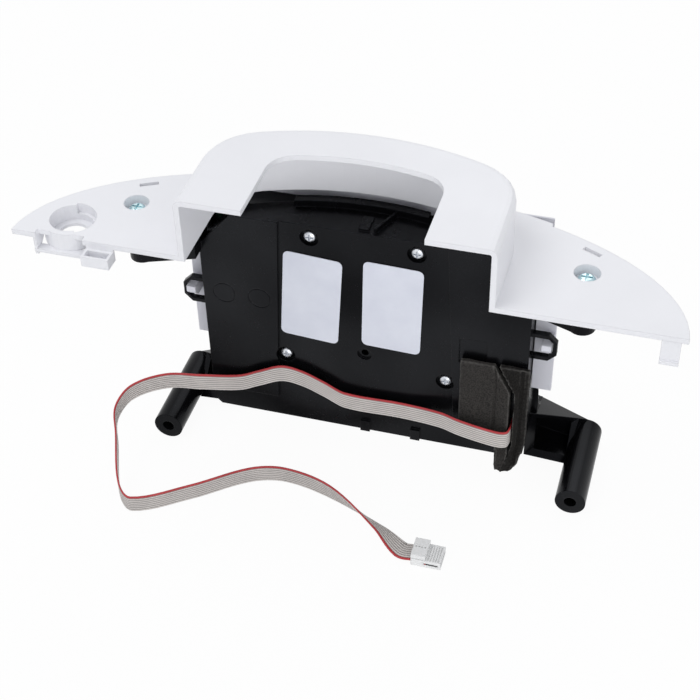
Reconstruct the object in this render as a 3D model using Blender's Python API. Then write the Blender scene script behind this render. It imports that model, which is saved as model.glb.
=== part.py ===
"""Operator panel head of a heating appliance: a white winged top cover over a black two-part case with two
rear-facing mounting legs, a white front fascia with a display and four keys, and a ribbon cable with its plug.

Frame: X to the right seen from the rear, Y from the rear to the front of the panel, Z up.
Inside the script every piece is placed from the rear edge (Y) and the top face (Z) of the wings. The parent empty
then puts the middle of the object over the origin and the undersides of the legs at Z = 0.
"""

import math

import bmesh
import bpy
from mathutils import Matrix, Vector

# Fits
GAP = 0.0003
SLIDE_GAP = 0.0004
SCREW_GAP = 0.00035

# Top cover: two flat wings and a raised hood that is open to the rear and below
WING_HALF_SPAN = 0.1497
WING_DEPTH = 0.0770
WING_CENTRE_Y = -0.0023
COVER_WALL = 0.0026
HOOD_HALF_WIDTH = 0.0700
HOOD_FRONT_RADIUS = 0.1430
HOOD_CORNER_RADIUS = 0.0280
HOOD_HEIGHT = 0.0295
HOOD_ROUNDING = 0.0036
HOOD_ROUNDING_STEPS = 3
HOOD_BAND = 0.0225
CUTOUT_HALF_WIDTH = 0.0395
CUTOUT_CORNER_RADIUS = 0.0130

# Wing details
WING_SCREW_INSET = 0.0467
WING_SCREW_Y = 0.0329
POCKET_RADIUS = 0.0058
POCKET_DEPTH = 0.0050
POCKET_WALL = 0.0018
WING_SLOT_INSET = 0.0469
WING_SLOT_EDGE = 0.0058
WING_SLOT_LENGTH = 0.0087
WING_SLOT_WIDTH = 0.0022
WING_SLOT_TURN = math.radians(26)
CUP_INSET = 0.0227
CUP_Y = 0.0143
CUP_RADIUS = 0.0098
CUP_DEPTH = 0.0078
CUP_WALL = 0.0014
CUP_STEP = 0.0016
CUP_FLOOR_HOLE_RADIUS = 0.0066
TRAY_LENGTH = 0.0130
TRAY_DEPTH = 0.0064
TRAY_HEIGHT = 0.0052
TRAY_WALL = 0.0013
HOOK_TAB_INSET = 0.0069
HOOK_TAB_WIDTH = 0.0080
HOOK_TAB_DROP = 0.0145
HOOK_TAB_WALL = 0.0018
EDGE_TAB_INNER_X = 0.0600
EDGE_TAB_OUTER_X = 0.0828
EDGE_TAB_PROUD = 0.0020

# Rear housing
HOUSING_HALF_WIDTH = 0.0795
HOUSING_REAR_Y = 0.0456
HOUSING_DEPTH = 0.0100
HOUSING_TOP_DROP = 0.0080
HOUSING_BOTTOM_DROP = 0.1300
HOUSING_WALL = 0.0024
HOUSING_CORNER_RUN = 0.0165
HOUSING_CORNER_DROP = 0.0190
HOUSING_FOOT_CHAMFER = 0.0030
SIDE_PANEL_PROUD = 0.0014
SIDE_PANEL_TOP_X = 0.0400
SIDE_PANEL_BOTTOM_X = 0.0450
LIP_HEIGHT = 0.0130
SHELF_HALF_WIDTH = 0.0600
SHELF_RIM_HEIGHT = 0.0034
SHELF_RIM_DEPTH = 0.0045
SHELF_RIM_LEFT_X = -0.0360
SHELF_RIM_RIGHT_X = 0.0270
EAR_RADIUS = 0.0062
EAR_DROP = 0.0300
EAR_WEB_HEIGHT = 0.0090
LOOP_DROP = 0.0590
LOOP_HEIGHT = 0.0150
LOOP_REACH = 0.0120
LOOP_WALL = 0.0020
LOOP_DEPTH = 0.0030
CENTRE_HOLE_DROP = 0.0798
CENTRE_HOLE_RADIUS = 0.0036
RECESS_X = 0.0532
RECESS_DROP = 0.0657
RECESS_WIDTH = 0.0132
RECESS_HEIGHT = 0.0150
RECESS_DEPTH = 0.0007
MARK_RADIUS = 0.0058
MARK_LINE = 0.0006
MARK_DEPTH = 0.0003
MARK_DROP = 0.0546
MARK_INSET = 0.0105
MARK_PITCH = 0.0177

# Rear screws, as half spacing and drop below the wings
REAR_SCREW_TOP = (0.0254, 0.0149)
REAR_SCREW_BOTTOM = (0.0400, 0.0886)
REAR_HEAD_RADIUS = 0.0029
REAR_HEAD_HEIGHT = 0.0020
REAR_SHANK_RADIUS = 0.0015
COUNTERBORE_RADIUS = 0.0046
SCREW_SEAT = 0.0024

# Board and wing screws
BOARD_HEAD_RADIUS = 0.0024
BOARD_HEAD_HEIGHT = 0.0016
BOARD_SHANK_RADIUS = 0.0012
WING_HEAD_RADIUS = 0.0040
WING_HEAD_HEIGHT = 0.0026

# Front chassis: the case's front half
CHASSIS_DEPTH = 0.0155
CHASSIS_TOP_DROP = 0.0110
CHASSIS_BOTTOM_DROP = 0.1240
CHASSIS_WALL = 0.0025
BOSS_RADIUS = 0.0034
POST_RADIUS = 0.0030
POST_INSET = 0.0142
POST_END = 0.0050

# Front fascia
FASCIA_WALL = 0.0025
FASCIA_FLANGE = 0.0070
FASCIA_FOOT = 0.0135
FASCIA_ROUNDING = 0.0022
FACE_TOP_DROP = 0.0034
HOOK_HEIGHT = 0.0066
HOOK_WIDTH = 0.0045

# Display
WINDOW_HALF_WIDTH = 0.0440
WINDOW_TOP_DROP = 0.0240
WINDOW_BOTTOM_DROP = 0.0640
WINDOW_MARGIN = 0.0050
LENS_WALL = 0.0020
LENS_STEP = 0.0020
DISPLAY_MARGIN = 0.0030

# Board
BOARD_SIDE_MARGIN = 0.0008
BOARD_TOP_MARGIN = 0.0059
BOARD_BOTTOM_MARGIN = 0.0040
BOARD_WALL = 0.0016
BOARD_SETBACK = 0.0042
HEADER_INSET = 0.0058
HEADER_WIDTH = 0.0048
HEADER_HEIGHT = 0.0140
HEADER_DEPTH = 0.0100

# Keys and their switches
KEY_COUNT = 4
KEY_PITCH = 0.0300
KEY_SPACING = 0.0145
KEY_WIDTH = 0.0174
KEY_HEIGHT = 0.0084
KEY_PROUD = 0.0012
KEY_FLANGE = 0.0015
KEY_FLANGE_WALL = 0.0014
KEY_STEM_RADIUS = 0.0020
KEY_TRAVEL = 0.0007
SWITCH_SIZE = 0.0060
SWITCH_HEIGHT = 0.0028
PLUNGER_RADIUS = 0.0016
PLUNGER_HEIGHT = 0.0005

# Arms and legs of the chassis
LEG_SPREAD = 0.0264
LEG_DROP = 0.14816
LEG_RADIUS = 0.0076
LEG_BORE_RADIUS = 0.0031
LEG_BORE_DEPTH = 0.0140
LEG_SIDES = 48
LEG_LENGTH = 0.0525
LEG_FORWARD = 0.0205
ARM_SETBACK = 0.0100
ARM_OVERLAP = 0.0045
ARM_FALL = 0.0100

# Labels
LABEL_WIDTH = 0.0286
LABEL_HEIGHT = 0.0503
LABEL_WALL = 0.00025
LABEL_CORNER_RADIUS = 0.0028
LABEL_LEFT = (-0.0256, 0.0500, math.radians(4.0))
LABEL_RIGHT = (0.0139, 0.0485, math.radians(1.8))

# Ribbon cable of eight conductors and its plug
RIBBON_WIDTH = 0.01016
RIBBON_WALL = 0.0009
RIBBON_DROP = 0.1040
RIBBON_STEPS = 3
PLUG_X = 0.0383
PLUG_Y = -0.0077
PLUG_LENGTH = 0.0147
PLUG_WIDTH = 0.0112
PLUG_HEIGHT = 0.0044
PLUG_CLIP_LENGTH = 0.0072
PLUG_CLIP_HEIGHT = 0.0025
PLUG_GROOVES = 5
PLUG_PITS = 4

# Foam sheets: each lies on the housing's panel and folds out along the ribbon to grip it
FOAM_SHEET = 0.0032
FOAM_DEPTH = 0.0065
FOAM_CREASE = 0.0078
FOAM_TOP_DROP = 0.0690
FOAM_SLOPE = 0.0130
FOAM_LEFT_REACH = 0.0260
FOAM_RIGHT_REACH = 0.0076
FOAM_LEFT_BOTTOM_DROP = 0.1100
FOAM_RIGHT_BOTTOM_DROP = 0.1220
FOAM_NECK_WIDTH = 0.0085
FOAM_NECK_HEIGHT = 0.0070
FOAM_TAIL_WIDTH = 0.0042
FOAM_TAIL_DROP = 0.1340
FOAM_TAIL_LEAN = 0.0034
FOAM_TAIL_SHIFT = 0.0030
FOAM_SEAM_SLANT = 0.0085
FOAM_TOP_CREASE = 0.0020

# Places along X that follow from the sizes above
WING_SCREW_X = WING_HALF_SPAN - WING_SCREW_INSET
WING_SLOT_X = WING_HALF_SPAN - WING_SLOT_INSET
CUP_X = CUP_INSET - WING_HALF_SPAN
HOOK_TAB_X = WING_HALF_SPAN - HOOK_TAB_INSET
FASCIA_INNER_X = HOUSING_HALF_WIDTH + SLIDE_GAP
FASCIA_OUTER_X = FASCIA_INNER_X + FASCIA_WALL
BOARD_HALF_WIDTH = HOUSING_HALF_WIDTH - CHASSIS_WALL - BOARD_SIDE_MARGIN
POST_X = BOARD_HALF_WIDTH - POST_INSET
HEADER_X = HOUSING_HALF_WIDTH - HEADER_INSET
FOAM_LEFT_X = HEADER_X - FOAM_LEFT_REACH
FOAM_RIGHT_X = HEADER_X + FOAM_RIGHT_REACH
MARK_LEFT_X = MARK_INSET - HOUSING_HALF_WIDTH
MARK_RIGHT_X = MARK_LEFT_X + MARK_PITCH
LEG_X = HOUSING_HALF_WIDTH + LEG_SPREAD

# Places along Y, from the rear to the front
PANEL_Y = HOUSING_REAR_Y - SIDE_PANEL_PROUD
FOAM_REAR_Y = PANEL_Y - GAP - FOAM_DEPTH
HOUSING_INNER_Y = HOUSING_REAR_Y + HOUSING_WALL
HOUSING_FRONT_Y = HOUSING_REAR_Y + HOUSING_DEPTH
SEAT_Y = HOUSING_REAR_Y + REAR_HEAD_HEIGHT + GAP
SCREW_BOSS_END_Y = SEAT_Y + SCREW_SEAT
CHASSIS_REAR_Y = HOUSING_FRONT_Y + SLIDE_GAP
CHASSIS_FRONT_Y = CHASSIS_REAR_Y + CHASSIS_DEPTH
HOOD_FRONT_Y = CHASSIS_FRONT_Y
BOARD_REAR_Y = CHASSIS_REAR_Y + BOARD_SETBACK
BOARD_FRONT_Y = BOARD_REAR_Y + BOARD_WALL
HEADER_REAR_Y = BOARD_REAR_Y - GAP - HEADER_DEPTH
FACE_BACK_Y = CHASSIS_FRONT_Y + SLIDE_GAP
FACE_Y = FACE_BACK_Y + FASCIA_WALL
LENS_REAR_Y = FACE_BACK_Y - GAP - LENS_WALL
ARM_REAR_Y = CHASSIS_REAR_Y + ARM_SETBACK
LEG_FRONT_Y = CHASSIS_FRONT_Y + LEG_FORWARD
LEG_REAR_Y = LEG_FRONT_Y - LEG_LENGTH
FRAME_Y = (TRAY_DEPTH - LEG_FRONT_Y) / 2

# Places along Z
FLOOR = -(LEG_DROP + LEG_RADIUS * math.cos(math.pi / LEG_SIDES))
BOARD_TOP_DROP = CHASSIS_TOP_DROP + CHASSIS_WALL + BOARD_TOP_MARGIN
BOARD_BOTTOM_DROP = CHASSIS_BOTTOM_DROP - CHASSIS_WALL - BOARD_BOTTOM_MARGIN
POST_TOP_DROP = BOARD_TOP_DROP + POST_END
POST_BOTTOM_DROP = BOARD_BOTTOM_DROP - POST_END
KEY_DROP = WINDOW_BOTTOM_DROP + KEY_SPACING
FASCIA_BOTTOM_DROP = KEY_DROP + FASCIA_FOOT
ARM_REAR_DROP = CHASSIS_BOTTOM_DROP - ARM_OVERLAP
ARM_FRONT_DROP = ARM_REAR_DROP + ARM_FALL
RIBBON_TOP = -RIBBON_DROP
PLUG_LOW = FLOOR + GAP / 3
PLUG_MIDDLE = PLUG_LOW + PLUG_HEIGHT / 2


def clear_scene():
    for thing in list(bpy.data.objects):
        bpy.data.objects.remove(thing)


def make_frame():
    frame = bpy.data.objects.new("panel_frame", None)
    frame.location = (0, FRAME_Y, -FLOOR)
    bpy.context.scene.collection.objects.link(frame)
    return frame


def make_material(name, colour, roughness, metallic=0.0, alpha=1.0):
    material = bpy.data.materials.new(name)
    material.use_nodes = True
    shader = material.node_tree.nodes["Principled BSDF"]
    shader.inputs["Base Color"].default_value = (*colour, 1)
    shader.inputs["Roughness"].default_value = roughness
    shader.inputs["Metallic"].default_value = metallic
    shader.inputs["Alpha"].default_value = alpha
    return material


def shape_object(name, bm):
    bmesh.ops.recalc_face_normals(bm, faces=bm.faces)
    mesh = bpy.data.meshes.new(name)
    bm.to_mesh(mesh)
    bm.free()
    thing = bpy.data.objects.new(name, mesh)
    bpy.context.scene.collection.objects.link(thing)
    thing.parent = bpy.data.objects["panel_frame"]
    return thing


def loft_mesh(rings):
    """A closed skin over rings of points, with a flat face over the first and the last."""
    bm = bmesh.new()
    loops = [[bm.verts.new(point) for point in ring] for ring in rings]
    for a, b in zip(loops, loops[1:]):
        for i in range(len(a)):
            j = (i + 1) % len(a)
            bm.faces.new((a[i], a[j], b[j], b[i]))
    bm.faces.new(loops[0])
    bm.faces.new(loops[-1])
    return bm


def prism_mesh(outline, low, high, axis):
    """A straight prism. The outline is in (x, y) along Z, (x, z) along Y and (y, z) along X."""
    place = {
        "Z": lambda a, b, c: (a, b, c),
        "Y": lambda a, b, c: (a, c, b),
        "X": lambda a, b, c: (c, a, b),
    }[axis]
    return loft_mesh([[place(a, b, c) for a, b in outline] for c in (low, high)])


def prism(outline, low, high, axis="Z", name="tool"):
    return shape_object(name, prism_mesh(outline, low, high, axis))


def box(x, y, z, name="tool"):
    return prism([(x[0], y[0]), (x[1], y[0]), (x[1], y[1]), (x[0], y[1])], z[0], z[1], name=name)


def arc(centre, radius, start, end, steps):
    angles = [math.radians(start + (end - start) * i / steps) for i in range(steps + 1)]
    return [(centre[0] + radius * math.cos(a), centre[1] + radius * math.sin(a)) for a in angles]


def disc(centre, radius, sides):
    half = 180 / sides
    return arc(centre, radius, half, 360 - half, sides - 1)


def rod(centre, radius, low, high, axis, sides=20, name="tool"):
    return prism(disc(centre, radius, sides), low, high, axis, name)


def combine(target, tool, operation):
    """Joins a tool into a piece or cuts it out of it, and removes the tool."""
    change = target.modifiers.new("change", "BOOLEAN")
    change.operation = operation
    change.object = tool
    change.solver = "EXACT"
    shape = bpy.data.meshes.new_from_object(target.evaluated_get(bpy.context.evaluated_depsgraph_get()))
    target.modifiers.clear()
    target.data = shape
    bpy.data.objects.remove(tool)


def join(target, *tools):
    for tool in tools:
        combine(target, tool, "UNION")


def cut(target, *tools):
    for tool in tools:
        combine(target, tool, "DIFFERENCE")


def finish(thing, material, smooth_angle=30):
    thing.data.materials.clear()
    thing.data.materials.append(material)
    thing.data.shade_smooth()
    thing.data.set_sharp_from_angle(angle=math.radians(smooth_angle))
    return thing


def hood_outline(half_width, front_y, front_radius, corner_radius, rear_y):
    """A D shape: straight sides from the rear, round corners and a shallow front arc tangent to them."""
    front_centre = front_y - front_radius
    reach = front_radius - corner_radius
    side = half_width - corner_radius
    corner_y = front_centre + math.sqrt(reach**2 - side**2)
    meet = math.degrees(math.atan2(corner_y - front_centre, side))
    right = arc((side, corner_y), corner_radius, 0, meet, 6)
    front = arc((0, front_centre), front_radius, meet, 180 - meet, 14)
    left = arc((-side, corner_y), corner_radius, 180 - meet, 180, 6)
    return [(-half_width, rear_y), (half_width, rear_y)] + right + front[1:-1] + left


def hood_body(inset, low, rear_y):
    """The hood's outer form, or its hollow when it is inset by the wall, with a rounded top edge."""
    rounding = HOOD_ROUNDING - inset
    levels = [(low, 0)]
    for step in range(HOOD_ROUNDING_STEPS + 1):
        turn = math.pi / 2 * step / HOOD_ROUNDING_STEPS
        height = HOOD_HEIGHT - inset - rounding * (1 - math.sin(turn))
        levels.append((height, rounding * (1 - math.cos(turn))))
    rings = []
    for height, more in levels:
        shrink = inset + more
        outline = hood_outline(
            HOOD_HALF_WIDTH - shrink,
            HOOD_FRONT_Y - shrink,
            HOOD_FRONT_RADIUS - shrink,
            HOOD_CORNER_RADIUS - shrink,
            rear_y,
        )
        rings.append([(x, y, height) for x, y in outline])
    return shape_object("tool", loft_mesh(rings))


def ellipse_y(x, proud=0.0):
    return WING_CENTRE_Y + (WING_DEPTH + proud) * math.sqrt(1 - (x / (WING_HALF_SPAN + proud)) ** 2)


def wing_outline():
    start = math.degrees(math.asin(-WING_CENTRE_Y / WING_DEPTH))
    turn = arc((0, 0), 1, start, 180 - start, 44)
    return [(WING_HALF_SPAN * c, WING_CENTRE_Y + WING_DEPTH * s) for c, s in turn]


def turned_slot(side):
    slot = box(
        (-WING_SLOT_LENGTH / 2, WING_SLOT_LENGTH / 2),
        (-WING_SLOT_WIDTH / 2, WING_SLOT_WIDTH / 2),
        (-2 * COVER_WALL, COVER_WALL),
    )
    turn = Matrix.Rotation(-side * WING_SLOT_TURN, 4, "Z")
    middle_y = ellipse_y(WING_SLOT_X) - WING_SLOT_EDGE
    slot.data.transform(Matrix.Translation((side * WING_SLOT_X, middle_y, 0)) @ turn)
    return slot


def edge_tab():
    """The short stretch of the right wing's front edge that stands proud."""
    steps = 5
    span = EDGE_TAB_OUTER_X - EDGE_TAB_INNER_X
    places = [EDGE_TAB_INNER_X + span * i / steps for i in range(steps + 1)]
    outer = [(x, ellipse_y(x, EDGE_TAB_PROUD)) for x in places]
    inner = [(x, ellipse_y(x) - COVER_WALL) for x in reversed(places)]
    return prism(outer + inner, -COVER_WALL, 0)


def add_cup(cover):
    """The round keyed cup near the left tip, with its rib, flange and small tray on the rear edge."""
    outer = CUP_RADIUS + CUP_STEP + CUP_WALL
    bottom = -(CUP_DEPTH + CUP_WALL)
    left = CUP_X - outer
    right = CUP_X + outer
    flange_low = bottom - CUP_WALL
    cut(cover, box((left + CUP_WALL, right - CUP_WALL), (-COVER_WALL, CUP_Y - outer + CUP_WALL), (-1, 1)))
    join(cover, rod((CUP_X, CUP_Y), outer, bottom, 0, "Z", 28))
    flange_back = CUP_Y - outer + 2 * CUP_WALL
    join(cover, box((left, right + CUP_WALL), (0, flange_back), (flange_low, bottom + GAP)))
    rib_low = flange_low - CUP_WALL
    rib_high = -COVER_WALL / 2
    rib = [(GAP, rib_low), (CUP_WALL, rib_low), (CUP_Y, rib_high), (GAP, rib_high)]
    join(cover, prism(rib, left, left + CUP_WALL, "X"))
    tray_high = bottom + TRAY_HEIGHT
    tray_right = right + TRAY_LENGTH
    join(cover, box((right, tray_right), (-TRAY_DEPTH, TRAY_WALL), (bottom, tray_high)))
    join(cover, box((right, tray_right), (0, TRAY_WALL), (bottom, -COVER_WALL / 2)))
    cut(
        cover,
        box(
            (right + TRAY_WALL, tray_right - TRAY_WALL),
            (TRAY_WALL - TRAY_DEPTH, -TRAY_WALL),
            (bottom + TRAY_WALL, tray_high + TRAY_WALL),
        ),
    )
    cut(cover, rod((CUP_X, CUP_Y), CUP_RADIUS, -CUP_DEPTH, COVER_WALL, "Z", 28))
    key = arc((CUP_X, CUP_Y), CUP_RADIUS + CUP_STEP, -60, 100, 14)
    cut(cover, prism([(CUP_X, CUP_Y)] + key, -CUP_DEPTH * 0.6, COVER_WALL))
    cut(cover, rod((CUP_X, CUP_Y), CUP_FLOOR_HOLE_RADIUS, 2 * bottom, 0, "Z", 20))


def make_top_cover(material):
    cover = prism(wing_outline(), -COVER_WALL, 0, name="top_cover")
    join(cover, edge_tab(), hood_body(0, -COVER_WALL, 0))
    cut(cover, hood_body(COVER_WALL, -4 * COVER_WALL, -COVER_WALL))
    opening = hood_outline(
        CUTOUT_HALF_WIDTH,
        HOOD_FRONT_Y - HOOD_BAND,
        HOOD_FRONT_RADIUS - HOOD_BAND,
        CUTOUT_CORNER_RADIUS,
        -COVER_WALL,
    )
    cut(cover, prism(opening, HOOD_HEIGHT - 2 * COVER_WALL, HOOD_HEIGHT + COVER_WALL))
    for side in (-1, 1):
        spot = (side * WING_SCREW_X, WING_SCREW_Y)
        bottom = -(POCKET_DEPTH + POCKET_WALL)
        join(cover, rod(spot, POCKET_RADIUS + POCKET_WALL, bottom, 0, "Z", 28))
        cut(cover, rod(spot, POCKET_RADIUS, -POCKET_DEPTH, COVER_WALL, "Z", 28))
        cut(cover, rod(spot, REAR_SHANK_RADIUS + 2 * SCREW_GAP, 2 * bottom, 0, "Z"))
        cut(cover, turned_slot(side))
    add_cup(cover)
    tab_x = (HOOK_TAB_X - HOOK_TAB_WIDTH / 2, HOOK_TAB_X + HOOK_TAB_WIDTH / 2)
    join(cover, box(tab_x, (GAP, HOOK_TAB_WALL), (-HOOK_TAB_DROP, -COVER_WALL / 2)))
    foot_z = (-HOOK_TAB_DROP, HOOK_TAB_WALL - HOOK_TAB_DROP)
    join(cover, box(tab_x, (-HOOK_TAB_WALL / 2, HOOK_TAB_WALL / 2), foot_z))
    return finish(cover, material)


def housing_outline(inset):
    """The rear housing seen from behind, with all its corners chamfered, in (x, z)."""
    half = HOUSING_HALF_WIDTH - inset
    top = -HOUSING_TOP_DROP - inset
    bottom = inset - HOUSING_BOTTOM_DROP
    corner_x = half - HOUSING_CORNER_RUN
    corner_z = top - HOUSING_CORNER_DROP
    foot_x = half - HOUSING_FOOT_CHAMFER
    foot_z = bottom + HOUSING_FOOT_CHAMFER
    right = [(foot_x, bottom), (half, foot_z), (half, corner_z), (corner_x, top)]
    return right + [(-x, z) for x, z in reversed(right)]


def side_panel(side):
    """A raised flat panel on one side of the housing's rear wall."""
    outline = housing_outline(0)
    low = LIP_HEIGHT - HOUSING_BOTTOM_DROP
    half, corner_z = outline[2]
    corner_x, top = outline[3]
    corners = [(half, low), (half, corner_z), (corner_x, top)]
    corners += [(SIDE_PANEL_TOP_X, top), (SIDE_PANEL_BOTTOM_X, low)]
    return prism([(side * x, z) for x, z in corners], PANEL_Y, HOUSING_INNER_Y, "Y")


def shelf_arc(inset, from_x, to_x):
    """Points along the housing's arched upper rim, which follows the inside of the hood's front wall."""
    radius = HOOD_FRONT_RADIUS - COVER_WALL - 3 * SLIDE_GAP - inset
    centre = HOOD_FRONT_Y - HOOD_FRONT_RADIUS
    steps = 12
    places = [from_x + (to_x - from_x) * i / steps for i in range(steps + 1)]
    return [(x, centre + math.sqrt(radius**2 - x**2)) for x in places]


def add_shelf(housing):
    """The flat top under the hood, with its raised rim, a low block and a slanting rib."""
    low = -HOUSING_TOP_DROP - HOUSING_WALL
    top = -HOUSING_TOP_DROP
    rear = [(-SHELF_HALF_WIDTH, HOUSING_INNER_Y), (SHELF_HALF_WIDTH, HOUSING_INNER_Y)]
    join(housing, prism(rear + shelf_arc(0, SHELF_HALF_WIDTH, -SHELF_HALF_WIDTH), low, top))
    rim = shelf_arc(0, SHELF_RIM_RIGHT_X, SHELF_RIM_LEFT_X)
    rim += shelf_arc(SHELF_RIM_DEPTH, SHELF_RIM_LEFT_X, SHELF_RIM_RIGHT_X)
    join(housing, prism(rim, low, top + SHELF_RIM_HEIGHT))
    depth = HOUSING_FRONT_Y - HOUSING_REAR_Y
    block_y = (HOUSING_INNER_Y, HOUSING_INNER_Y + depth)
    join(housing, box((-HOUSING_WALL, HOUSING_WALL), block_y, (low, top + HOUSING_WALL / 2)))
    lean = 2 * HOUSING_WALL
    near, far = block_y[0], block_y[1] + 2 * HOUSING_WALL
    rib = [(lean, near), (lean + HOUSING_WALL / 2, near), (2.5 * lean, far), (2.5 * lean - HOUSING_WALL / 2, far)]
    join(housing, prism(rib, low, top + HOUSING_WALL))


def ear_top():
    return -(POCKET_DEPTH + POCKET_WALL) - GAP


def add_ear(housing, side):
    """A tower under the wing that takes the cover screw, on a web from the housing's side."""
    spot = (side * WING_SCREW_X, WING_SCREW_Y)
    low = -EAR_DROP
    wall_x = HOUSING_HALF_WIDTH - HOUSING_WALL / 2
    rear_y = WING_SCREW_Y - EAR_RADIUS
    web = [
        (side * wall_x, WING_SCREW_Y + EAR_RADIUS * 0.5),
        (side * WING_SCREW_X, rear_y),
        (side * (WING_SCREW_X + EAR_RADIUS * 0.7), WING_SCREW_Y),
        (side * WING_SCREW_X, WING_SCREW_Y + EAR_RADIUS * 0.9),
        (side * wall_x, HOUSING_FRONT_Y - HOUSING_WALL),
    ]
    join(housing, prism(web, low, low + EAR_WEB_HEIGHT))
    join(housing, rod(spot, EAR_RADIUS, low, ear_top(), "Z", 24))
    cut(housing, rod(spot, REAR_SHANK_RADIUS + SCREW_GAP, low / 2, 0, "Z"))


def loop_frame(side, inset):
    near = HOUSING_HALF_WIDTH - HOUSING_WALL / 2
    far = HOUSING_HALF_WIDTH + LOOP_REACH - inset
    low = -LOOP_DROP - LOOP_HEIGHT / 2 + inset
    high = -LOOP_DROP + LOOP_HEIGHT / 2 - inset
    corner = 2 * LOOP_WALL - inset
    outline = [(near, low), (far - corner, low), (far, low + corner), (far, high - corner), (far - corner, high)]
    return [(side * x, z) for x, z in outline + [(near, high)]]


def add_loop(housing, side):
    """A snap loop on the housing's side, which the fascia's hook stands in."""
    rear = HOUSING_INNER_Y
    front = rear + LOOP_DEPTH
    strap = prism(loop_frame(side, 0), rear, front, "Y")
    cut(strap, prism(loop_frame(side, LOOP_WALL), rear - LOOP_DEPTH, front + LOOP_DEPTH, "Y"))
    wall = (side * (HOUSING_HALF_WIDTH - HOUSING_WALL), side * HOUSING_HALF_WIDTH)
    height = (-LOOP_DROP - LOOP_HEIGHT / 2, -LOOP_DROP + LOOP_HEIGHT / 2)
    join(strap, box((min(wall), max(wall)), (rear, front), height))
    join(housing, strap)


def rear_screw_spots():
    spots = []
    for half, drop in (REAR_SCREW_TOP, REAR_SCREW_BOTTOM):
        spots += [(-half, -drop), (half, -drop)]
    return spots


def ribbon_slot():
    half = RIBBON_WALL / 2 + 2 * SLIDE_GAP
    top = RIBBON_TOP + 4 * SLIDE_GAP
    low = RIBBON_TOP - RIBBON_WIDTH - 4 * SLIDE_GAP
    return box((HEADER_X - half, HEADER_X + half), (PANEL_Y - GAP, HOUSING_INNER_Y + GAP), (low, top))


def make_rear_housing(material):
    housing = prism(housing_outline(0), HOUSING_REAR_Y, HOUSING_FRONT_Y, "Y", "rear_housing")
    cut(housing, prism(housing_outline(HOUSING_WALL), HOUSING_INNER_Y, 2 * HOUSING_FRONT_Y, "Y"))
    join(housing, side_panel(-1), side_panel(1))
    lip_low = -HOUSING_BOTTOM_DROP
    for x in (0, 4 * SIDE_PANEL_PROUD + SIDE_PANEL_TOP_X / 2):
        tab_x = (x - HOUSING_WALL, x + HOUSING_WALL)
        join(housing, box(tab_x, (PANEL_Y, HOUSING_INNER_Y), (lip_low, lip_low + LIP_HEIGHT / 2)))
    add_shelf(housing)
    for spot in rear_screw_spots():
        boss_radius = COUNTERBORE_RADIUS + HOUSING_WALL / 2
        join(housing, rod(spot, boss_radius, HOUSING_REAR_Y + GAP, SCREW_BOSS_END_Y, "Y"))
        cut(housing, rod(spot, COUNTERBORE_RADIUS, PANEL_Y - GAP, SEAT_Y, "Y", 24))
        cut(housing, rod(spot, REAR_SHANK_RADIUS + SCREW_GAP, HOUSING_REAR_Y, 2 * SCREW_BOSS_END_Y, "Y"))
    centre = (0, -CENTRE_HOLE_DROP)
    cut(housing, rod(centre, CENTRE_HOLE_RADIUS, PANEL_Y, HOUSING_REAR_Y + HOUSING_WALL / 2, "Y"))
    cut(housing, rod(centre, CENTRE_HOLE_RADIUS / 2, PANEL_Y, 2 * HOUSING_INNER_Y, "Y"))
    recess_x = (RECESS_X - RECESS_WIDTH / 2, RECESS_X + RECESS_WIDTH / 2)
    recess_z = (-RECESS_DROP - RECESS_HEIGHT / 2, -RECESS_DROP + RECESS_HEIGHT / 2)
    cut(housing, box(recess_x, (PANEL_Y - GAP, PANEL_Y + RECESS_DEPTH), recess_z))
    for x in (MARK_LEFT_X, MARK_RIGHT_X):
        ring = rod((x, -MARK_DROP), MARK_RADIUS, PANEL_Y - GAP, PANEL_Y + MARK_DEPTH, "Y", 24)
        cut(ring, rod((x, -MARK_DROP), MARK_RADIUS - MARK_LINE, 0, FACE_Y, "Y", 24))
        cut(housing, ring)
    cut(housing, ribbon_slot())
    for side in (-1, 1):
        add_ear(housing, side)
        add_loop(housing, side)
    return finish(housing, material)


def rounded_front(outline, rear, front, rounding):
    """A prism along Y whose front edge is rounded."""
    bm = prism_mesh(outline, rear, front, "Y")
    edges = [edge for edge in bm.edges if all(abs(v.co.y - front) < 1e-6 for v in edge.verts)]
    bmesh.ops.bevel(bm, geom=edges, offset=rounding, segments=3, profile=0.5, affect="EDGES", clamp_overlap=True)
    return shape_object("tool", bm)


def rectangle(half_width, low, high):
    return [(-half_width, low), (half_width, low), (half_width, high), (-half_width, high)]


def key_places():
    first = -KEY_PITCH * (KEY_COUNT - 1) / 2
    return [first + KEY_PITCH * i for i in range(KEY_COUNT)]


def post_spots():
    return [(side * POST_X, -drop) for drop in (POST_TOP_DROP, POST_BOTTOM_DROP) for side in (-1, 1)]


def add_hook(fascia, side):
    """A hook that reaches back from the fascia into the housing's snap loop."""
    far = HOUSING_HALF_WIDTH + LOOP_REACH - LOOP_WALL - SLIDE_GAP
    x = sorted((side * far, side * (far - HOOK_WIDTH)))
    tip = HOUSING_REAR_Y
    half = HOOK_HEIGHT / 2
    overlap = CHASSIS_REAR_Y + FASCIA_WALL / 2
    profile = [(overlap, half), (overlap, -half), (tip + half, -half), (tip, 0), (tip, half)]
    join(fascia, prism([(y, z - LOOP_DROP) for y, z in profile], x[0], x[1], "X"))


def lens_outline(grow=0.0):
    half = WINDOW_HALF_WIDTH + WINDOW_MARGIN + grow
    return rectangle(half, -WINDOW_BOTTOM_DROP - WINDOW_MARGIN - grow, WINDOW_MARGIN - WINDOW_TOP_DROP + grow)


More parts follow.
